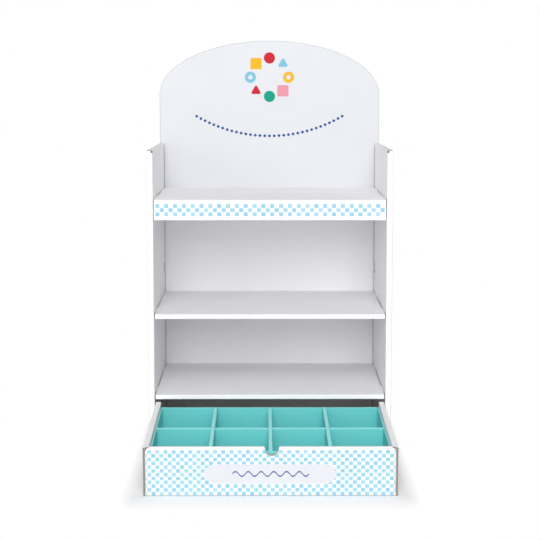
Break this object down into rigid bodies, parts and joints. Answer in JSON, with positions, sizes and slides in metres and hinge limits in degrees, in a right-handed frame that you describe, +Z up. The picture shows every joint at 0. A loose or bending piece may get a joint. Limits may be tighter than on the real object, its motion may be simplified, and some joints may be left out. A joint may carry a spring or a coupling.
{
  "type": "cardboard display stand",
  "caption": "Counter display stand of folded white corrugated board with an arched header, shelves and a pull-out drawer that holds a divided teal insert.",
  "frame": {"origin": "middle of the stand's footprint on the table", "axes": "+Z up along the stand's height, -Y out of the open front, towards which the drawer is pulled, +X to the right of someone who looks at the front"},
  "size_m": [0.34, 0.4748, 0.576],
  "materials": {
    "white_board": "matt white liner with kraft-brown cut edges",
    "teal_card": "matt printed teal",
    "check_print": "matt light-blue print",
    "label_print": "matt pale print",
    "navy_print": "matt navy print",
    "red_print": "matt red print",
    "pink_print": "matt pink print",
    "green_print": "matt green print",
    "blue_print": "matt light-blue print",
    "yellow_print": "matt yellow print"
  },
  "bodies": {
    "stand": {"stand_body": "white_board", "top_shelf": "white_board", "middle_shelf": "white_board", "lower_shelf": "white_board", "base_shelf": "white_board", "lip_checks": "check_print", "header_garland_navy": "navy_print", "header_shapes_red": "red_print", "header_shapes_blue": "blue_print", "header_shapes_yellow": "yellow_print", "header_shapes_pink": "pink_print", "header_shapes_green": "green_print"},
    "drawer": {"drawer_tray": "white_board", "drawer_checks": "check_print", "drawer_label": "label_print", "drawer_label_wave": "navy_print", "insert_liner": "teal_card", "insert_divider_1": "teal_card", "insert_divider_2": "teal_card", "insert_divider_3": "teal_card", "insert_cross_divider": "teal_card"}
  },
  "joints": [
    {"name": "drawer_slide", "type": "slide", "parent": "stand", "child": "drawer", "axis": [0, -0.9996, -0.028], "range_m": [-0.233, 0]}
  ]
}
